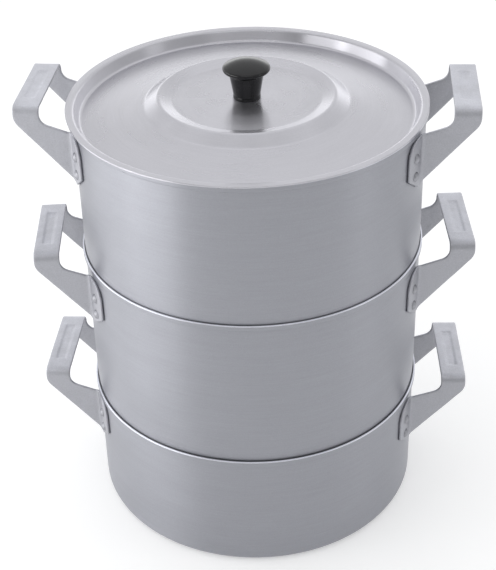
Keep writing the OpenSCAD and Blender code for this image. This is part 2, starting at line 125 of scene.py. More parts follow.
# The corner at b between a and c, as an arc of radius r
def corner_arc(a, b, c, r):
    a, b, c = (np.array(p[:2], float) for p in (a, b, c))
    u, v = unit(b - a), unit(c - b)
    turn = turn_between(u, v)
    if r == 0 or abs(turn) < 1e-9:
        return [b]
    start = b - u * r * math.tan(abs(turn) / 2)
    centre = start + math.copysign(r, turn) * left_of(u)
    n = max(ARC_STEPS_MIN, math.ceil(math.degrees(abs(turn)) / ARC_STEP_DEG))
    d = start - centre
    out = []
    for k in range(n + 1):
        t = turn * k / n
        out.append(centre + np.array([d[0] * math.cos(t) - d[1] * math.sin(t),
                                      d[0] * math.sin(t) + d[1] * math.cos(t)]))
    return out


# A closed outline from corners given as x, y and radius
def rounded(corners):
    n = len(corners)
    out = []
    for i in range(n):
        out += corner_arc(corners[i - 1], corners[i], corners[(i + 1) % n], corners[i][2])
    return out


# Corner i of the outline that lies beside an open path at distance t, with a radius that fits
def beside(path, i, t):
    k = max(i, 1)
    m = min(i, len(path) - 2)
    p = [np.array(c[:2], float) for c in path]
    a, b = unit(p[k] - p[k - 1]), unit(p[m + 1] - p[m])
    q = p[i] + (left_of(a) + left_of(b)) * t / (1 + a @ b)
    c = path[i]
    if len(c) > 3:
        r = c[3]
    elif c[2] == 0:
        r = 0
    else:
        r = max(c[2] - math.copysign(1, turn_between(a, b)) * t, 0)
    return (q[0], q[1], r)


# The closed outline of a sheet of thickness t that follows an open path
def sheet(path, t):
    return rounded([c[:3] for c in path] + [beside(path, i, t) for i in reversed(range(len(path)))])


# Extra points on straight stretches, so that shading stays true to the flat and round parts
def supported(points, closed=True, near=0.3, far=9.0):
    out = []
    n = len(points)
    for i in range(n if closed else n - 1):
        a, b = np.array(points[i]), np.array(points[(i + 1) % n])
        length = np.linalg.norm(b - a)
        out.append(a)
        if length > 4 * near:
            inner = [near] + list(np.linspace(near, length - near, max(2, math.ceil(length / far) + 1))[1:])
            out += [a + (b - a) * s / length for s in inner]
    if not closed:
        out.append(np.array(points[-1]))
    return out


# Points and faces of one piece, gathered in millimetres
class Surface:
    def __init__(self):
        self.points = []
        self.faces = []
        self.count = 0

    def add(self, points):
        start = self.count
        self.points.append(np.asarray(points, float).reshape(-1, 3))
        self.count += len(self.points[-1])
        return start

    # Joins rows of equally many points, given as indices
    def join(self, rows, closed=True):
        for a, b in zip(rows, rows[1:]):
            a, b = np.asarray(a), np.asarray(b)
            if closed:
                quads = np.stack([a, np.roll(a, -1), np.roll(b, -1), b], 1)
            else:
                quads = np.stack([a[:-1], a[1:], b[1:], b[:-1]], 1)
            self.faces += quads.tolist()

    def finish(self, name, sharp_deg=38.0):
        mesh = bpy.data.meshes.new(name)
        mesh.from_pydata(np.concatenate(self.points) * MM, [], self.faces)
        bm = bmesh.new()
        bm.from_mesh(mesh)
        bmesh.ops.remove_doubles(bm, verts=bm.verts, dist=WELD_DISTANCE_M)
        bmesh.ops.recalc_face_normals(bm, faces=bm.faces)
        bm.to_mesh(mesh)
        bm.free()
        mesh.shade_smooth()
        mesh.set_sharp_from_angle(angle=math.radians(sharp_deg))
        obj = bpy.data.objects.new(name, mesh)
        bpy.context.scene.collection.objects.link(obj)
        return obj


def moved(points, matrix):
    m = np.array(matrix)
    return points @ m[:3, :3].T + m[:3, 3]


# Turns an outline (radius, height) about the vertical axis
def spin(surface, outline, segments=AROUND, closed=True, matrix=None):
    outline = np.asarray(outline, float)
    a = 2 * math.pi * np.arange(segments) / segments
    r, z = outline[:, :1], outline[:, 1:]
    points = np.stack([r * np.cos(a), r * np.sin(a), z + 0 * a], 2).reshape(-1, 3)
    if matrix is not None:
        points = moved(points, matrix)
    start = surface.add(points)
    rows = start + np.arange(len(points)).reshape(-1, segments)
    surface.join(list(rows) + ([rows[0]] if closed else []))


# Vessels: the widened rim, with the step inside it on which the next piece stands
def rim_path(z):
    return [
        (WALL_R, z - RIM_H - WALL_T, SEAT_EDGE_R, SEAT_EDGE_R),
        (RIM_R, z - RIM_H - WALL_T, RIM_CORNER_R, SEAT_EDGE_R),
        (RIM_R, z, RIM_EDGE_R, RIM_INNER_R),
    ]


def make_base_pot():
    foot_r = WALL_R - BASE_CORNER_R - FOOT_W
    path = [
        (0, DISH_H, 0),
        (foot_r - DISH_H, DISH_H, DISH_H),
        (foot_r, 0, DISH_H),
        (WALL_R, 0, BASE_CORNER_R),
    ] + rim_path(RIM_Z["base"])
    s = Surface()
    spin(s, supported(sheet(path, WALL_T)))
    return s.finish("base_pot_shell")


# Flat plate with rings of holes: each hole sits in a cell of its own
def perforated_plate(surface, floor_z):
    top, low = floor_z + WALL_T, floor_z
    side_steps = 7
    loops = [(HOLE_R + HOLE_PAD_W, top), (HOLE_R + HOLE_EDGE_R, top)]
    for k in range(1, EDGE_STEPS + 1):
        t = math.pi / 2 * k / EDGE_STEPS
        loops.append((HOLE_R + HOLE_EDGE_R - HOLE_EDGE_R * math.sin(t),
                      top - HOLE_EDGE_R + HOLE_EDGE_R * math.cos(t)))
    loops += [(HOLE_R, low + HOLE_BURR), (HOLE_R + HOLE_BURR, low), (HOLE_R + HOLE_PAD_W, low)]
    for ring in range(HOLE_RINGS + 1):
        count = max(6 * ring, 1)
        n = AROUND // count
        r_in, r_out, half = (ring - 0.5) * RING_STEP, (ring + 0.5) * RING_STEP, math.pi / count
        for k in range(count):
            mid = 2 * math.pi * k / count
            centre = ring * RING_STEP * np.array([math.cos(mid), math.sin(mid)])
            edge = [(r_out, mid - half + 2 * half * j / n) for j in range(n if ring == 0 else n + 1)]
            if ring:
                edge += [(r, mid + half) for r in np.linspace(r_out, r_in, side_steps + 1)[1:]]
                edge += [(r_in, mid + half - 2 * half * j / n) for j in range(1, n + 1)]
                edge += [(r, mid - half) for r in np.linspace(r_in, r_out, side_steps + 1)[1:-1]]
            edge = np.array([(r * math.cos(a), r * math.sin(a)) for r, a in edge])
            out = edge - centre
            out /= np.linalg.norm(out, axis=1)[:, None]
            rows = [np.column_stack([edge, np.full(len(edge), top)])]
            rows += [np.column_stack([centre + out * r, np.full(len(edge), z)]) for r, z in loops]
            rows.append(np.column_stack([edge, np.full(len(edge), low)]))
            surface.join([surface.add(row) + np.arange(len(edge)) for row in rows])


# A tier: its neck stands inside the rim below, on which its shoulder rests
def make_tier(vessel, seat_z):
    tuck, tuck_h = TUCKS[vessel]
    shoulder_z = seat_z - RIM_H
    floor_z = shoulder_z - NECK_DEPTH
    neck_r = WALL_R - WALL_T - NECK_GAP
    plate_r = (HOLE_RINGS + 0.5) * RING_STEP
    lean = math.atan2(tuck, tuck_h)
    path = [
        (plate_r, floor_z, 0),
        (neck_r, floor_z, NECK_CORNER_R),
        (neck_r, shoulder_z, SEAT_EDGE_R, SEAT_EDGE_R),
        (WALL_R - tuck, shoulder_z, SEAT_EDGE_R, SEAT_EDGE_R),
        (WALL_R, shoulder_z + tuck_h, tuck_h * TUCK_ROUND / math.tan(lean / 2)),
    ] + rim_path(RIM_Z[vessel])
    s = Surface()
    spin(s, supported(sheet(path, WALL_T), closed=False), closed=False)
    perforated_plate(s, floor_z)
    return s.finish(vessel + "_tier_shell")


# Lid: flange, well, raised ring and disc, pressed from one sheet
def make_lid():
    well_r = WALL_R + RIM_GAP - LID_PLAY
    path = [
        (SCREW_HOLE_R, DISC_Z, 0),
        (DISC_R, DISC_Z, RING_BEND_R),
        (CREST_R, LID_Z + CREST_H, CREST_BEND_R),
        (RING_FOOT_R, LID_Z - RING_FOOT_DROP, RING_BEND_R),
        (well_r - WELL_SLOPE_W, LID_Z - WELL_DEPTH, WELL_BEND_R),
        (well_r, LID_Z, WELL_BEND_R),
        (RIM_R + LID_OVERHANG, LID_Z, LID_EDGE_R, LID_EDGE_R),
    ]
    s = Surface()
    spin(s, supported(sheet(path, -LID_T)), matrix=Matrix.Translation((-LID_SHIFT, 0, 0)))
    return s.finish("lid_pressing")


# Knob, drawn as one outline: bore, foot, tapered stem, bead, head and dome
def make_knob():
    foot_edge_r, foot_slope_h, bend_r, stem_end_h = 0.3, 0.6, 0.5, 0.75
    bead_steps, bead_start_deg, bead_turn_deg, dome_steps = 8, -75, 135, 20
    wide_z = KNOB_H - KNOB_DOME_H
    under_z = wide_z - KNOB_UNDER_H
    edge_r, edge_z = KNOB_HEAD_R - KNOB_EDGE_R, wide_z + KNOB_EDGE_R
    rise = KNOB_H - edge_z
    ball_r = (edge_r ** 2 + rise ** 2) / (2 * rise)
    half = math.asin(edge_r / ball_r)
    corners = [
        (KNOB_BORE_R, 0, 0.2),
        (KNOB_FOOT_R, 0, foot_edge_r),
        (KNOB_FOOT_R, KNOB_FOOT_H, bend_r),
        (KNOB_WAIST_R, KNOB_FOOT_H + foot_slope_h, bend_r),
        (KNOB_STEM_R - KNOB_BEAD_R / 5, under_z - stem_end_h, 0.3),
    ]
    for k in range(bead_steps + 1):
        t = math.radians(bead_start_deg + bead_turn_deg * k / bead_steps)
        x, z = KNOB_BEAD_R * math.cos(t), KNOB_BEAD_R * math.sin(t)
        corners.append((KNOB_STEM_R - KNOB_BEAD_R / 2 + x, under_z + z, 0))
    corners.append((KNOB_HEAD_R, wide_z, KNOB_EDGE_R))
    for k in range(dome_steps):
        a = half * (1 - k / dome_steps)
        corners.append((ball_r * math.sin(a), KNOB_H - ball_r * (1 - math.cos(a)), 0))
    corners += [(0, KNOB_H, 0), (0, KNOB_BORE_H, 0), (KNOB_BORE_R, KNOB_BORE_H, 0)]
    s = Surface()
    at = Matrix.Translation((-LID_SHIFT, 0, DISC_Z))
    spin(s, supported(rounded(corners), near=0.15, far=3.0), segments=AROUND_KNOB, matrix=at)
    return s.finish("knob_moulding", sharp_deg=50.0)


# Plan of the handles' fold on the vessel's wall, and lengths along the sheet's middle layer
FOLD_Y = HANDLE_W / 2 + FOLD_R
FOLD_X = math.sqrt((FLANGE_R + STRAP_T + FOLD_R) ** 2 - FOLD_Y ** 2)
FOLD_A = math.atan2(FOLD_Y, FOLD_X)
ARM_A = math.asin(HANDLE_W / 2 / FLANGE_R)
FLANGE_END_A = ARM_A + FLANGE_LEN / FLANGE_R
RIVET_A = ARM_A + RIVET_INSET / FLANGE_R
BEND_MID_R, FOLD_MID_R, FLANGE_MID_R = BEND_R - STRAP_T / 2, FOLD_R + STRAP_T / 2, FLANGE_R + STRAP_T / 2
FLAT_Y = HANDLE_W / 2 - BEND_R
BEND_LEN = BEND_MID_R * math.pi / 2
FOLD_SPAN = math.pi / 2 - FOLD_A
FOLD_LEN = FOLD_MID_R * FOLD_SPAN


# Depth of the pressed panel at points of the flat blank: a soft hollow, wider on the vessel's side
def panel_depth(v, u, mid_v):
    dx = np.abs(v - mid_v) - (PANEL_W / 2 - PANEL_CORNER_R)
    dy = np.abs(u) - (PANEL_LEN / 2 - PANEL_CORNER_R)
    corner = np.hypot(np.maximum(dx, 0), np.maximum(dy, 0))
    out = corner + np.minimum(np.maximum(dx, dy), 0) - PANEL_CORNER_R
    slope = np.where(v < mid_v, PANEL_INNER_SLOPE_W, PANEL_OUTER_SLOPE_W)
    t = np.clip(-out / slope, 0, 1)
    return PANEL_H * t * t * (3 - 2 * t)


# Slight waviness of hand-bent sheet
def waves(v, u, seed):
    rng = np.random.RandomState(seed)
    total = np.zeros(len(v))
    for length, height in WAVES:
        for _ in range(WAVES_OF_EACH):
            a, phase = rng.uniform(0, 2 * math.pi, 2)
            total += height * np.sin(2 * math.pi * (v * math.cos(a) + u * math.sin(a)) / length + phase)
    return total


# Points of the strap's flat blank, at height h over its middle layer, folded into their places
def folded(v, u, h, grip_out, seed):
    side = np.where(u >= 0, 1.0, -1.0)
    s = np.abs(u)
    loose = np.clip((v - FOLD_X - WAVES_START) / WAVES_RAMP, 0, 1)
    h = h + waves(v, u, seed) * loose - panel_depth(v, u, grip_out - GRIP_W / 2)
    z = -BEND_R - (s - FLAT_Y - BEND_LEN)
    x, y = v.copy(), HANDLE_W / 2 - STRAP_T / 2 + h
    k = v < FOLD_X
    a = math.pi * 1.5 - (FOLD_X - v) / FOLD_MID_R
    x = np.where(k, FOLD_X + (FOLD_MID_R - h) * np.cos(a), x)
    y = np.where(k, FOLD_Y + (FOLD_MID_R - h) * np.sin(a), y)
    k = v < FOLD_X - FOLD_LEN
    a = FOLD_A + (FOLD_X - FOLD_LEN - v) / FLANGE_MID_R
    x = np.where(k, (FLANGE_MID_R + h) * np.cos(a), x)
    y = np.where(k, (FLANGE_MID_R + h) * np.sin(a), y)
    k = s <= FLAT_Y + BEND_LEN
    a = np.maximum(s - FLAT_Y, 0) / BEND_MID_R
    x = np.where(k, v, x)
    y = np.where(k, np.minimum(s, FLAT_Y) + np.where(s > FLAT_Y, (BEND_MID_R + h) * np.sin(a), 0), y)
    z = np.where(k, np.where(s > FLAT_Y, -BEND_R + (BEND_MID_R + h) * np.cos(a), -STRAP_T / 2 + h), z)
    return np.stack([x, side * y, z], 1)


# Points at even steps along a closed outline
def evenly(points, step):
    out = []
    for a, b in zip(points, points[1:] + points[:1]):
        n = max(1, round(np.linalg.norm(b - a) / step))
        out += [a + (b - a) * k / n for k in range(n)]
    return np.array(out)


# Outline of a strap's flat blank: v runs across the grip from the vessel out, u along the strap
def blank_outline(grip_out):
    grip_in = grip_out - GRIP_W
    v_end = FOLD_X - FOLD_LEN - (FLANGE_END_A - FOLD_A) * FLANGE_MID_R
    foot_v = FOLD_X - STRAP_FOOT_IN
    foot_end_v = foot_v - STRAP_FOOT_LEN

    def u(drop):
        return FLAT_Y + BEND_LEN + drop - BEND_R

    # A corner's largest radius that still clears the bend of the grip
    def radius(wanted, drop, rise, run):
        slope = math.atan2(rise, run)
        return min(wanted, (drop - BEND_R) / math.tan((math.pi / 2 - slope) / 2))

    elbow = radius(ELBOW_R, ELBOW_DROP, STRAP_FOOT_DROP - ELBOW_DROP, grip_out - foot_v)
    throat = radius(THROAT_R, THROAT_DROP, FLANGE_TOP - THROAT_DROP, grip_in - FOLD_X)
    half = [
        (grip_out, u(ELBOW_DROP), elbow),
        (foot_v, u(STRAP_FOOT_DROP), STRAP_FOOT_R),
        (foot_end_v, u(STRAP_FOOT_DROP), STRAP_FOOT_R),
        (v_end, u(FLANGE_LOW), FLANGE_LOW_R),
        (v_end, u(FLANGE_TOP), FLANGE_TOP_R),
        (FOLD_X, u(FLANGE_TOP), NOTCH_R),
        (grip_in, u(THROAT_DROP), throat),
    ]
    return rounded(half + [(v, -w, r) for v, w, r in reversed(half)])


# Which of the given points lie inside a closed outline
def inside(outline, points):
    x, y = points[:, 0], points[:, 1]
    hit = np.zeros(len(points), bool)
    for (x1, y1), (x2, y2) in zip(np.roll(outline, 1, axis=0), outline):
        if y1 != y2:
            hit ^= ((y1 > y) != (y2 > y)) & (x < (x2 - x1) * (y - y1) / (y2 - y1) + x1)
    return hit


# Points of a square grid that is the same on both sides of the handle's middle
def lattice(lo_v, hi_v, hi_u, step):
    v = np.arange(lo_v, hi_v + step / 2, step)
    n = math.floor(hi_u / step)
    u = np.arange(-n, n + 1) * step
    return np.array([(a, b) for a in v for b in u])


# Handle: the flat blank is meshed on both faces, its cut edge is rounded, and all points are folded
def make_handle(side, body):
    rise, turn, reach = PLACES[side]
    grip_out = WALL_R + reach
    outline = evenly(blank_outline(grip_out), OUTLINE_STEP)
    n = len(outline)
    along = np.roll(outline, -1, axis=0) - np.roll(outline, 1, axis=0)
    along /= np.linalg.norm(along, axis=1)[:, None]
    out = np.stack([along[:, 1], -along[:, 0]], 1)
    before = np.roll(outline, 1, axis=0)
    if np.sum(before[:, 0] * outline[:, 1] - outline[:, 0] * before[:, 1]) < 0:
        out = -out
    inset = outline - out * STRAP_EDGE_R
    guard = outline - out * (STRAP_EDGE_R + OUTLINE_MARGIN)
    mid_v = grip_out - GRIP_W / 2
    lo, hi = inset.min(0), inset.max(0)
    coarse = lattice(lo[0] + COARSE_STEP / 2, hi[0], hi[1], COARSE_STEP)
    across, length = PANEL_W / 2 + PANEL_MARGIN, PANEL_LEN / 2 + PANEL_MARGIN
    on_panel = (np.abs(coarse[:, 0] - mid_v) < across) & (np.abs(coarse[:, 1]) < length)
    panel_reach = math.ceil(PANEL_W / 2 / FINE_STEP) * FINE_STEP
    fine = lattice(mid_v - panel_reach, mid_v + panel_reach, PANEL_LEN / 2 + FINE_STEP, FINE_STEP)
    grid = np.concatenate([coarse[~on_panel], fine])
    grid = grid[inside(guard, grid)]
    flat = [Vector(p) for p in np.concatenate([inset, grid])]
    verts, _, faces, origins, _, _ = delaunay_2d_cdt(flat, [], [list(range(n))], 1, 1e-6)
    flat = np.array([tuple(p) for p in verts])
    border = np.zeros(n, int)
    for i, origin in enumerate(origins):
        for j in origin:
            if j < n:
                border[j] = i
    seed = list(PLACES).index(side) + WAVES_FIRST_SEED
    spot = Matrix.Translation((0, 0, RIM_Z[body] + rise)) @ Matrix.Rotation(math.radians(turn), 4, "Z")

    s = Surface()

    def put(p, h):
        return s.add(moved(folded(p[:, 0], p[:, 1], h, grip_out, seed), spot))

    upper, lower = put(flat, STRAP_T / 2), put(flat, -STRAP_T / 2)
    s.faces += [[upper + i for i in f] for f in faces]
    s.faces += [[lower + i for i in reversed(f)] for f in faces]
    rows = [upper + border]
    for h_side in (1, -1):
        for k in range(1, EDGE_STEPS + 1) if h_side == 1 else range(EDGE_STEPS, 0, -1):
            t = math.pi / 2 * k / EDGE_STEPS
            h = h_side * (STRAP_T / 2 - STRAP_EDGE_R + STRAP_EDGE_R * math.cos(t))
            rows.append(put(inset + out * STRAP_EDGE_R * math.sin(t), h) + np.arange(n))
    rows.append(lower + border)
    s.join(rows)
    return s.finish(side + "_strap", sharp_deg=60.0)


# Outline of a rivet's domed head, from its rim on the given base towards its top
def rivet_dome(r, h, base, way):
    steps, top_share = 8, 0.97
    ball = (r * r + h * h) / (2 * h)
    half = math.asin(r / ball)
    points = [(r - RIVET_LIP_H, base), (r, base + way * RIVET_LIP_H)]
    for k in range(1, steps + 1):
        a = half * (1 - k / steps) * top_share
        points.append((ball * math.sin(a), base + way * (h - ball * (1 - math.cos(a)))))
    return points


# Rivets: a domed head outside, a flatter one inside
def make_rivets(side, body):
    rise, turn, _ = PLACES[side]
    inner_r = WALL_R - WALL_T
    tail_z = math.sqrt(inner_r ** 2 - RIVET_HEAD_R ** 2) - RIVET_GAP
    head_z = FLANGE_R + STRAP_T + RIVET_GAP
    head = rivet_dome(RIVET_HEAD_R, RIVET_HEAD_H, head_z, 1)
    tail = rivet_dome(RIVET_HEAD_R, RIVET_TAIL_H, tail_z, -1)
    outline = list(reversed(tail)) + [(RIVET_R, tail_z), (RIVET_R, head_z)] + head
    outline = supported(outline, closed=False, near=0.1, far=3.0)
    s = Surface()
    for across in (-1, 1):
        for row in (0, 1):
            at = (Matrix.Rotation(math.radians(turn) + across * RIVET_A, 4, "Z")
                  @ Matrix.Translation((0, 0, RIM_Z[body] + rise - RIVET_DROP - row * RIVET_PITCH))
                  @ Matrix.Rotation(math.pi / 2, 4, "Y"))
            spin(s, outline, segments=AROUND_RIVET, closed=False, matrix=at)
    return s.finish(side + "_rivet_set", sharp_deg=45.0)


# Materials; of a noise, only the middle of its range is used
NOISE_LOW, NOISE_HIGH = 0.3, 0.7


def new_material(name):
    m = bpy.data.materials.new(name)
    m.use_nodes = True
    nodes, links = m.node_tree.nodes, m.node_tree.links
    shader = nodes["Principled BSDF"]
    return m, nodes, links, shader


# A node with its properties set and its inputs either linked or given a value
def add(nodes, links, kind, inputs=None, **props):
    n = nodes.new(kind)
    for key, value in props.items():
        setattr(n, key, value)
    for key, value in (inputs or {}).items():
        socket = n.inputs[key]
        if isinstance(value, bpy.types.NodeSocket):
            links.new(value, socket)
        else:
            socket.default_value = value
    return n


def math_node(nodes, links, operation, *values):
    n = nodes.new("ShaderNodeMath")
    n.operation = operation
    for i, value in enumerate(values):
        if isinstance(value, bpy.types.NodeSocket):
            links.new(value, n.inputs[i])
        else:
            n.inputs[i].default_value = value
    return n.outputs[0]


# Coordinates that run round the vertical axis: angle, radius and height
def round_coordinates(nodes, links, shift_x):
    place = add(nodes, links, "ShaderNodeTexCoord").outputs["Object"]
    xyz = add(nodes, links, "ShaderNodeSeparateXYZ", {0: place})
    x = math_node(nodes, links, "ADD", xyz.outputs[0], shift_x)
    y, z = xyz.outputs[1], xyz.outputs[2]
    r2 = math_node(nodes, links, "ADD", math_node(nodes, links, "MULTIPLY", x, x),
                   math_node(nodes, links, "MULTIPLY", y, y))
    return place, math_node(nodes, links, "ARCTAN2", y, x), math_node(nodes, links, "SQRT", r2), z


def noise_node(nodes, links, vector, scale, detail, rough):
    n = add(nodes, links, "ShaderNodeTexNoise",
            {"Vector": vector, "Scale": scale, "Detail": detail, "Roughness": rough})
    return n.outputs["Fac"]


def spread(nodes, links, value, low, high, out_low, out_high):
    n = add(nodes, links, "ShaderNodeMapRange",
            {"Value": value, "From Min": low, "From Max": high, "To Min": out_low, "To Max": out_high})
    return n.outputs["Result"]


# Spreads the used range of a noise over the given one
def vary(nodes, links, noise, low, high):
    return spread(nodes, links, noise, NOISE_LOW, NOISE_HIGH, low, high)


def product(nodes, links, first, *factors):
    for factor in factors:
        first = math_node(nodes, links, "MULTIPLY", first, factor)
    return first


# How far a piece's surface looks up, from -1 to 1
def facing_up(nodes, links):
    facing = add(nodes, links, "ShaderNodeTexCoord").outputs["Normal"]
    return add(nodes, links, "ShaderNodeSeparateXYZ", {0: facing}).outputs[2]


def metal_colour(nodes, links, shader, colour, light):
    tint = add(nodes, links, "ShaderNodeVectorMath", {0: colour, "Scale": light}, operation="SCALE")
    links.new(tint.outputs[0], shader.inputs["Base Color"])
    shader.inputs["Metallic"].default_value = 1.0


# Two layers of bump, each given as its height, its strength and its depth in millimetres
def two_bumps(nodes, links, shader, first, second):
    height, strength, depth = first
    bump = add(nodes, links, "ShaderNodeBump",
               {"Strength": strength, "Distance": depth * MM, "Height": height})
    height, strength, depth = second
    bump2 = add(nodes, links, "ShaderNodeBump",
                {"Strength": strength, "Distance": depth * MM, "Height": height, "Normal": bump.outputs[0]})
    links.new(bump2.outputs[0], shader.inputs["Normal"])


# Metal turned round its axis: fine rings, mottling, slight stains, and a painted highlight on upward-facing
# surfaces past a radius, which stands in for the rims' edge glint
def turned_metal(name, colour, roughness, anisotropic, shift_x=0.0, ring_scale=900.0, mottle=0.05,
                 ring_bump=0.02, grain_bump=0.05, painted_rim_highlight=0.0, rim_highlight_radius=1.0):
    ring_stretch, cloud_stretch, stain, rim_highlight_blend = 0.004, 0.05, 0.04, 0.4 * MM
    m, nodes, links, shader = new_material(name)
    place, angle, radius, z = round_coordinates(nodes, links, shift_x)
    along = add(nodes, links, "ShaderNodeCombineXYZ",
                {0: math_node(nodes, links, "MULTIPLY", angle, ring_stretch), 1: radius, 2: z}).outputs[0]
    rings = noise_node(nodes, links, along, scale=ring_scale, detail=3.0, rough=0.6)
    broad = noise_node(nodes, links, along, scale=ring_scale / 9, detail=2.0, rough=0.5)
    around = add(nodes, links, "ShaderNodeCombineXYZ",
                 {0: math_node(nodes, links, "MULTIPLY", angle, cloud_stretch), 1: radius, 2: z}).outputs[0]
    clouds = noise_node(nodes, links, around, scale=26.0, detail=3.0, rough=0.55)
    grain = noise_node(nodes, links, place, scale=1200.0, detail=2.0, rough=0.6)
    # Painted highlight: the colour is brightened where the surface faces up, out past the given radius
    edge = product(nodes, links, spread(nodes, links, facing_up(nodes, links), 0.1, 0.5, 0.0, painted_rim_highlight),
                   spread(nodes, links, radius, rim_highlight_radius - rim_highlight_blend, rim_highlight_radius, 0.0, 1.0))
    light = product(nodes, links,
                    vary(nodes, links, rings, 1 - mottle * 0.6, 1 + mottle * 0.6),
                    vary(nodes, links, broad, 1 - mottle * 0.5, 1 + mottle * 0.5),
                    vary(nodes, links, clouds, 1 - stain, 1 + stain),
                    vary(nodes, links, grain, 1 - mottle * 0.8, 1 + mottle * 0.8),
                    math_node(nodes, links, "ADD", edge, 1.0))
    metal_colour(nodes, links, shader, colour, light)
    rough = math_node(nodes, links, "ADD", vary(nodes, links, clouds, roughness - 0.03, roughness + 0.03),
                      vary(nodes, links, broad, -0.02, 0.02))
    links.new(rough, shader.inputs["Roughness"])
    shader.inputs["Anisotropic"].default_value = anisotropic
    shader.inputs["Anisotropic Rotation"].default_value = 0.25
    tangent = add(nodes, links, "ShaderNodeTangent", direction_type="RADIAL", axis="Z").outputs[0]
    links.new(tangent, shader.inputs["Tangent"])
    two_bumps(nodes, links, shader, (rings, ring_bump, 0.4), (grain, grain_bump, 0.3))
    return m


# Metal that was tumbled or plated: matte and pitted, with a painted highlight that makes it brighter where
# it faces up
def tumbled_metal(name, colour, roughness, pits, painted_top_highlight=0.0):
    m, nodes, links, shader = new_material(name)
    place = add(nodes, links, "ShaderNodeTexCoord").outputs["Object"]
    grain = noise_node(nodes, links, place, scale=1100.0, detail=3.0, rough=0.65)
    dents = noise_node(nodes, links, place, scale=260.0, detail=2.0, rough=0.5)
    clouds = noise_node(nodes, links, place, scale=60.0, detail=3.0, rough=0.6)
    # Painted highlight: the colour is brighter where the surface faces up, unevenly across it
    top_highlight = product(nodes, links, spread(nodes, links, facing_up(nodes, links), 0.55, 0.95, 0.0, painted_top_highlight),
                   vary(nodes, links, clouds, 0.8, 1.2))
    light = product(nodes, links,
                    vary(nodes, links, grain, 0.92, 1.08),
                    vary(nodes, links, clouds, 0.94, 1.06),
                    math_node(nodes, links, "ADD", top_highlight, 1.0))
    metal_colour(nodes, links, shader, colour, light)
    links.new(vary(nodes, links, clouds, roughness - 0.05, roughness + 0.05), shader.inputs["Roughness"])
    two_bumps(nodes, links, shader, (grain, pits, 0.4), (dents, pits, 1.2))
    return m


# Glossy black moulding with a faint unevenness
def black_moulding(name):
    m, nodes, links, shader = new_material(name)
    place = add(nodes, links, "ShaderNodeTexCoord").outputs["Object"]
    fine = noise_node(nodes, links, place, scale=900.0, detail=2.0, rough=0.6)
    clouds = noise_node(nodes, links, place, scale=90.0, detail=3.0, rough=0.6)
    ramp = add(nodes, links, "ShaderNodeValToRGB", {"Fac": clouds})
    darker, lighter = ramp.color_ramp.elements
    darker.position, darker.color = 0.3, (0.008, 0.008, 0.009, 1)
    lighter.position, lighter.color = 0.75, (0.014, 0.014, 0.016, 1)
    links.new(ramp.outputs["Color"], shader.inputs["Base Color"])
    links.new(vary(nodes, links, clouds, 0.12, 0.2), shader.inputs["Roughness"])
    shader.inputs["IOR"].default_value = 1.42
    two_bumps(nodes, links, shader, (clouds, 0.08, 0.3), (fine, 0.03, 0.2))
    return m


# Painted highlight on the rims' upward-facing tops, this wide inward from their outer edge
RIM_HIGHLIGHT_W = 0.9
wall_metal = turned_metal("wall_aluminium", (0.36, 0.365, 0.397), 0.43, 0.78, painted_rim_highlight=1.2,
                          rim_highlight_radius=(RIM_R - RIM_HIGHLIGHT_W) * MM)
lid_metal = turned_metal("lid_aluminium", (0.53, 0.525, 0.56), 0.285, 0.88, shift_x=LID_SHIFT * MM,
                         mottle=0.035, ring_bump=0.008, grain_bump=0.03)
brass = turned_metal("turned_brass", (0.62, 0.42, 0.16), 0.3, 0.5, shift_x=LID_SHIFT * MM,
                     ring_scale=1600.0)
# The straps get a painted highlight where they face up
strap_metal = tumbled_metal("strap_aluminium", (0.455, 0.458, 0.49), 0.6, pits=0.16, painted_top_highlight=0.3)
rivet_metal = tumbled_metal("rivet_aluminium", (0.36, 0.363, 0.39), 0.5, pits=0.12)
steel = tumbled_metal("zinc_plated_steel", (0.5, 0.51, 0.54), 0.34, pits=0.05)
knob_black = black_moulding("knob_black")


# Gives a piece its material, and stands it in for a CAD node on that node's body
def dress(obj, node, body, material):
    obj.data.materials.append(material)
    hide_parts(node)
    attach(obj, body)


# Gives a piece that stays as it is in CAD its material and smooth shading
def dress_cad(node, material):
    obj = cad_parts[node]
    if not obj.material_slots:
        obj.data.materials.append(material)
    for slot in obj.material_slots:
        slot.material = material
    obj.data.shade_smooth()
    obj.data.set_sharp_from_angle(angle=math.radians(35))


# The pieces
dress(make_base_pot(), "base_pot", "base", wall_metal)
dress(make_tier("middle", RIM_Z["base"]), "middle_tier", "middle", wall_metal)
dress(make_tier("top", RIM_Z["middle"]), "top_tier", "top", wall_metal)
dress(make_lid(), "lid", "cover", lid_metal)
dress(make_knob(), "knob", "cover", knob_black)
for side in PLACES:
    body = side.split("_")[0]
    dress(make_handle(side, body), side + "_handle", body, strap_metal)
    dress(make_rivets(side, body), side + "_rivets", body, rivet_metal)
dress_cad("knob_insert", brass)
dress_cad("knob_screw", steel)
dress_cad("knob_washer", steel)


# Camera: it looks down at a point by the axis and is rolled slightly; its focal length is in photo pixels
CAMERA_TILT_DEG, CAMERA_ROLL_DEG = 33.453, -1.568
CAMERA_AIM, CAMERA_DISTANCE = (-4.37, 0.0, 173.05), 1056.8
FOCAL_PX, PHOTO_H_PX, SENSOR_MM = 1353.6, 570.0, 36.0
CLIP_START_M, CLIP_END_M = 0.01, 50.0


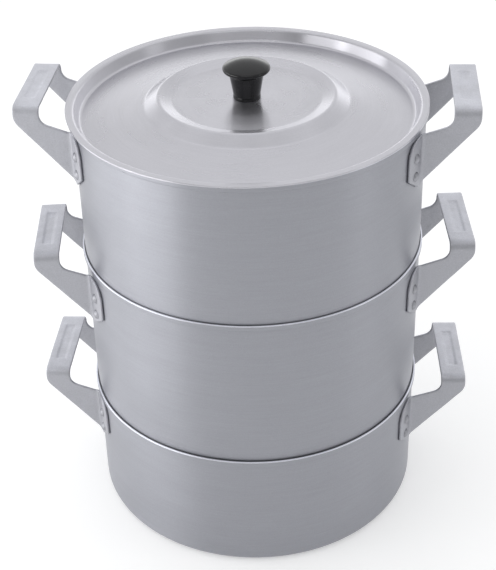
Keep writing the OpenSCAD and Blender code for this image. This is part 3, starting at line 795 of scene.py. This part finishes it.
def make_camera():
    camera = bpy.data.objects.new("camera", bpy.data.cameras.new("camera"))
    bpy.context.scene.collection.objects.link(camera)
    tilt = Matrix.Rotation(math.radians(90 - CAMERA_TILT_DEG), 4, "X")
    roll = Matrix.Rotation(math.radians(CAMERA_ROLL_DEG), 4, "Z")
    away = Matrix.Translation((0, 0, CAMERA_DISTANCE * MM))
    camera.matrix_world = Matrix.Translation(Vector(CAMERA_AIM) * MM) @ tilt @ roll @ away
    camera.data.sensor_width = SENSOR_MM
    camera.data.lens = FOCAL_PX * SENSOR_MM / PHOTO_H_PX
    camera.data.clip_start, camera.data.clip_end = CLIP_START_M, CLIP_END_M
    bpy.context.scene.camera = camera


# The studio: a wide pale floor, a world that stands for its walls, and softboxes
FLOOR_W, FLOOR_CELLS, FLOOR_DROP = 24000.0, 48, 0.2
FLOOR_GREY, FLOOR_GLOW = 0.8, 0.32
WALL_STOPS = 12
WALL_TINT = (0.985, 0.992, 1.0, 1)
# Each band's level at the sides, what the back has more and the front less, a dark screen's stops and depth
WALLS = {
    "low": (1.0, 1.0, (9, 10), 0.5),
    "middle": (0.8, 0.2, (3, 4), 0.5),
    "high": (0.95, 0.25, (), 0.0),
}
# Where one band blends into the next, as sines of the height over the horizon
WALL_BLENDS = ((0.12, 0.35), (0.6, 0.85))
# A ramp holds no level over 1, so it holds them divided by this
LEVEL_SCALE = 2.0
SOFTBOX_AIM = (0.0, 0.0, 250.0)


# Floor: white where nothing shades it, in the metal's reflections too, and it keeps the object's shadow
def make_floor():
    along = (np.arange(FLOOR_CELLS + 1) / FLOOR_CELLS - 0.5) * FLOOR_W
    x, y = np.meshgrid(along, along)
    s = Surface()
    s.add(np.stack([x, y, np.full(x.shape, -FLOOR_DROP)], 2))
    s.join(list(np.arange(x.size).reshape(x.shape)), closed=False)
    floor = s.finish("floor")
    m, nodes, links, shader = new_material("floor_white")
    nodes.remove(shader)
    path = add(nodes, links, "ShaderNodeLightPath")
    seen = math_node(nodes, links, "MAXIMUM", path.outputs["Is Camera Ray"],
                     math_node(nodes, links, "MAXIMUM", path.outputs["Is Glossy Ray"],
                               path.outputs["Is Transmission Ray"]))
    diffuse = add(nodes, links, "ShaderNodeBsdfDiffuse", {"Color": (FLOOR_GREY, FLOOR_GREY, FLOOR_GREY, 1)})
    strength = math_node(nodes, links, "MULTIPLY", seen, FLOOR_GLOW)
    glow = add(nodes, links, "ShaderNodeEmission", {"Color": (1, 1, 1, 1), "Strength": strength})
    both = add(nodes, links, "ShaderNodeAddShader", {0: diffuse.outputs[0], 1: glow.outputs[0]})
    links.new(both.outputs[0], nodes["Material Output"].inputs["Surface"])
    floor.data.materials.append(m)


# Levels of one band at stops all round, from the back over the left, the front and the right
def wall_levels(sides, back_more, screen_stops, screen_depth):
    levels = [sides + back_more * math.cos(2 * math.pi * k / WALL_STOPS) for k in range(WALL_STOPS + 1)]
    for k in screen_stops:
        levels[k] -= screen_depth
    return levels


# One band of the walls as a ramp over the share of the way round
def wall_band(nodes, links, name, share, levels):
    ramp = add(nodes, links, "ShaderNodeValToRGB", {"Fac": share}, name=name)
    stops = ramp.color_ramp.elements
    for k in range(1, WALL_STOPS):
        stops.new(k / WALL_STOPS)
    for k, level in enumerate(levels):
        grey = level / LEVEL_SCALE
        stops[k].position, stops[k].color = k / WALL_STOPS, (grey, grey, grey, 1)
    return ramp.outputs["Color"]


# Studio walls in three bands, one above the other, that blend into each other
def make_world():
    world = bpy.data.worlds.new("studio")
    bpy.context.scene.world = world
    world.use_nodes = True
    nodes, links = world.node_tree.nodes, world.node_tree.links
    direction = add(nodes, links, "ShaderNodeTexCoord").outputs["Generated"]
    x, y, z = add(nodes, links, "ShaderNodeSeparateXYZ", {0: direction}).outputs
    angle = math_node(nodes, links, "ARCTAN2", x, math_node(nodes, links, "MULTIPLY", y, -1.0))
    share = spread(nodes, links, angle, -math.pi, math.pi, 0.0, 1.0)
    bands = [wall_band(nodes, links, name, share, wall_levels(*walls)) for name, walls in WALLS.items()]
    level = bands[0]
    for upper, (start, end) in zip(bands[1:], WALL_BLENDS):
        height = add(nodes, links, "ShaderNodeMapRange",
                     {"Value": z, "From Min": start, "From Max": end}, interpolation_type="SMOOTHSTEP")
        mix = nodes.new("ShaderNodeMix")
        links.new(height.outputs["Result"], mix.inputs[0])
        links.new(level, mix.inputs[2])
        links.new(upper, mix.inputs[3])
        level = mix.outputs[0]
    background = nodes["Background"]
    background.inputs["Color"].default_value = WALL_TINT
    links.new(math_node(nodes, links, "MULTIPLY", level, LEVEL_SCALE), background.inputs["Strength"])


# A softbox at a turn from the front to the right, a height over the horizon and a distance
def softbox(name, turn_deg, height_deg, distance, width, length, power):
    turn, height = math.radians(turn_deg), math.radians(height_deg)
    back = Vector((math.sin(turn) * math.cos(height), -math.cos(turn) * math.cos(height), math.sin(height)))
    light = bpy.data.lights.new(name, "AREA")
    light.shape = "RECTANGLE"
    light.size, light.size_y = width * MM, length * MM
    light.energy = power
    obj = bpy.data.objects.new(name, light)
    bpy.context.scene.collection.objects.link(obj)
    obj.location = (Vector(SOFTBOX_AIM) + back * distance) * MM
    obj.rotation_euler = (-back).to_track_quat("-Z", "Y").to_euler()


make_camera()
make_floor()
make_world()
softbox("left_softbox", -90, 10, 1250, 900, 1000, power=4.2)
softbox("left_front_softbox", -60, 10, 1250, 700, 1000, power=4.2)
softbox("right_softbox", 68, 8, 1300, 300, 1000, power=0.5)
softbox("front_softbox", 0, 50, 1600, 1200, 500, power=1.5)
bpy.context.scene.view_settings.view_transform = "Standard"
